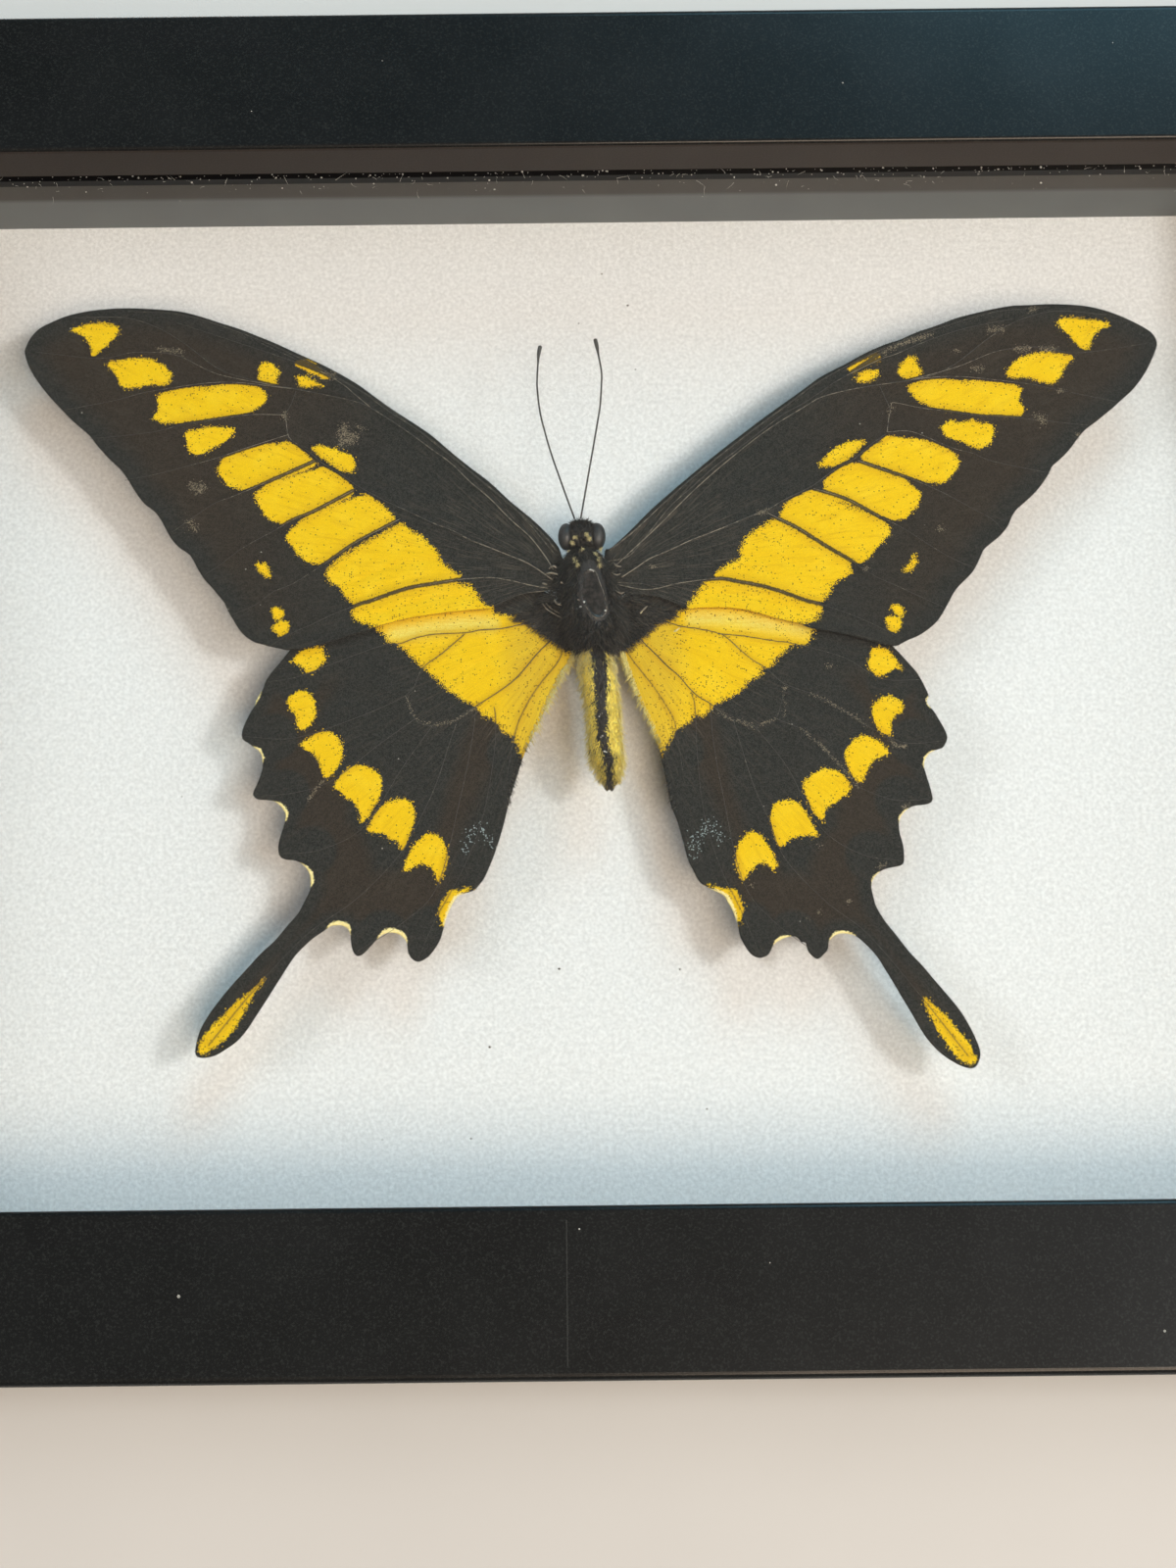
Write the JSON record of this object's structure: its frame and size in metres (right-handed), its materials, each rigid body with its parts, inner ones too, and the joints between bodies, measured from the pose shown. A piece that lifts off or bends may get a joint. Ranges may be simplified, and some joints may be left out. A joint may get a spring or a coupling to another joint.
{
  "type": "framed butterfly specimen",
  "caption": "Shallow black box frame with glass over one spread black and yellow swallowtail butterfly, held above a white card.",
  "frame": {"origin": "bottom centre of the bounding box, on the plane of the rails' backs, with the frame lying on its back", "axes": "+X along the long rails to the right, +Y to the top rail and the butterfly's head, +Z out through the glass"},
  "size_m": [0.205, 0.155, 0.028],
  "materials": {
    "moulding_black": "satin black lacquer on a smooth wood moulding",
    "clear_glass": "clear picture glass with a little dust and lint",
    "spacer_grey": "grey satin painted spacer strip",
    "card_white": "matt off-white mount card with a fine paper grain",
    "hardboard_brown": "bare brown hardboard",
    "tab_steel": "thin zinc-plated steel",
    "hanger_brass": "brass-plated pressed steel",
    "cork_tan": "bare cork",
    "body_fur": "short black hair on the thorax, yellow scales with a black stripe on the abdomen",
    "wing_scales": "velvety black wing scales with bands of yellow spots",
    "antenna_black": "thin dark antenna with a slim club"
  },
  "bodies": {
    "root": {"rail_top": "moulding_black", "rail_bottom": "moulding_black", "rail_left": "moulding_black", "rail_right": "moulding_black", "glass": "clear_glass", "spacer_top": "spacer_grey", "spacer_bottom": "spacer_grey", "spacer_left": "spacer_grey", "spacer_right": "spacer_grey", "mount_card": "card_white", "back_panel": "hardboard_brown", "tab_1": "tab_steel", "tab_2": "tab_steel", "tab_3": "tab_steel", "tab_4": "tab_steel", "tab_5": "tab_steel", "tab_6": "tab_steel", "tab_7": "tab_steel", "tab_8": "tab_steel", "tab_9": "tab_steel", "tab_10": "tab_steel", "sawtooth_hanger": "hanger_brass", "hanger_rivet_left": "hanger_brass", "hanger_rivet_right": "hanger_brass", "cork_rest": "cork_tan", "body": "body_fur", "forewing_left": "wing_scales", "forewing_right": "wing_scales", "hindwing_left": "wing_scales", "hindwing_right": "wing_scales", "antenna_left": "antenna_black", "antenna_right": "antenna_black"}
  },
  "joints": []
}
